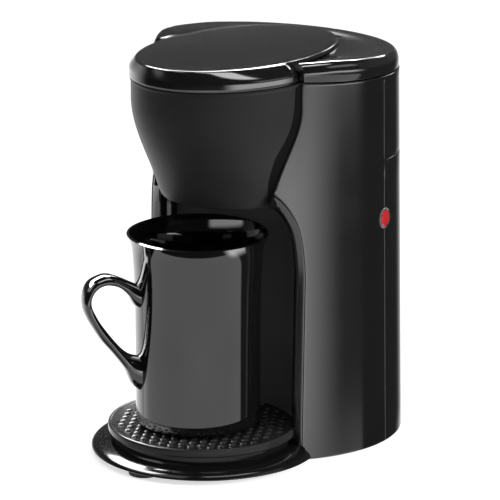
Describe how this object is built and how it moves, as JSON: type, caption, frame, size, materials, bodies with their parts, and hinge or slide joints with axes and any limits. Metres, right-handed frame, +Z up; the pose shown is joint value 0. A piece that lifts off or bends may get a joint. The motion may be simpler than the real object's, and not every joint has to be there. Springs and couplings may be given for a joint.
{
  "type": "drip coffee maker",
  "caption": "Black single-cup drip coffee maker with a round tank body, an overhanging brew head under a hinged lid, a round foot with a raised cup plate, and a handled mug.",
  "frame": {"origin": "on the table, under the middle of the object's box", "axes": "+Z up, -Y towards the front where the mug stands, +X towards the side with the push button"},
  "size_m": [0.1424, 0.197, 0.2257],
  "materials": {
    "gloss_body": "gloss",
    "satin_body": "satin",
    "plate": "satin, with small round bumps",
    "mug_glaze": "gloss glaze",
    "soft_black": "matt",
    "inner_plastic": "satin",
    "tank_plastic": "frosted, lets light through",
    "heater_metal": "as cast",
    "steel": "bright",
    "silicone": "milky, matt",
    "button_lens": "clear red",
    "lamp": "clear",
    "wire_brown": "sleeve",
    "wire_blue": "sleeve"
  },
  "bodies": {
    "base": {"side_shell_right": "gloss_body", "side_shell_left": "gloss_body", "rear_panel_lower": "gloss_body", "rear_panel_upper": "gloss_body", "head_shell": "satin_body", "outlet_plate": "satin_body", "arch_trim_right": "satin_body", "arch_trim_left": "satin_body", "groove_trim_right": "satin_body", "groove_trim_left": "satin_body", "alcove_panel": "satin_body", "foot_shell": "gloss_body", "bottom_cover": "soft_black", "foot_pad_front": "soft_black", "foot_pad_right": "soft_black", "foot_pad_left": "soft_black", "rear_cover": "gloss_body", "hinge_bracket": "inner_plastic", "hinge_pin": "steel", "top_deck": "inner_plastic", "filter_holder": "satin_body", "filter_rim": "satin_body", "filter_mesh": "steel", "spout": "silicone", "water_tank": "tank_plastic", "tank_shelf": "inner_plastic", "tank_seal": "soft_black", "check_valve": "inner_plastic", "heater": "heater_metal", "heater_clamp": "steel", "thermostat": "steel", "thermal_fuse": "silicone", "cold_hose": "silicone", "hot_hose": "silicone", "button_ring": "steel", "power_switch": "inner_plastic", "indicator_lamp": "lamp", "cord_gland": "soft_black", "terminal_block": "inner_plastic", "switch_wire": "wire_brown", "heater_wire": "wire_blue", "body_screw_1": "steel", "body_screw_2": "steel", "body_screw_3": "steel", "foot_screw_1": "steel", "foot_screw_2": "steel"},
    "lid": {"lid_shell": "gloss_body", "lid_liner": "inner_plastic"},
    "button": {"power_button": "button_lens"},
    "plate": {"cup_plate": "plate"},
    "mug": {"mug": "mug_glaze"}
  },
  "joints": [
    {"name": "lid_hinge", "type": "hinge", "parent": "base", "child": "lid", "pos_m": [0, 0.0597, 0.21659], "axis": [-1, 0, 0], "range_deg": [0, 90]},
    {"name": "button_press", "type": "slide", "parent": "base", "child": "button", "axis": [-0.9912, -0.1323, 0], "range_m": [0, 0.0018], "stiffness_N_per_m": 400},
    {"name": "plate_lift", "type": "slide", "parent": "base", "child": "plate", "axis": [0, 0, 1], "range_m": [0, 0.008]},
    {"name": "mug_out", "type": "slide", "parent": "plate", "child": "mug", "axis": [0, -1, 0], "range_m": [0, 0.15]}
  ]
}
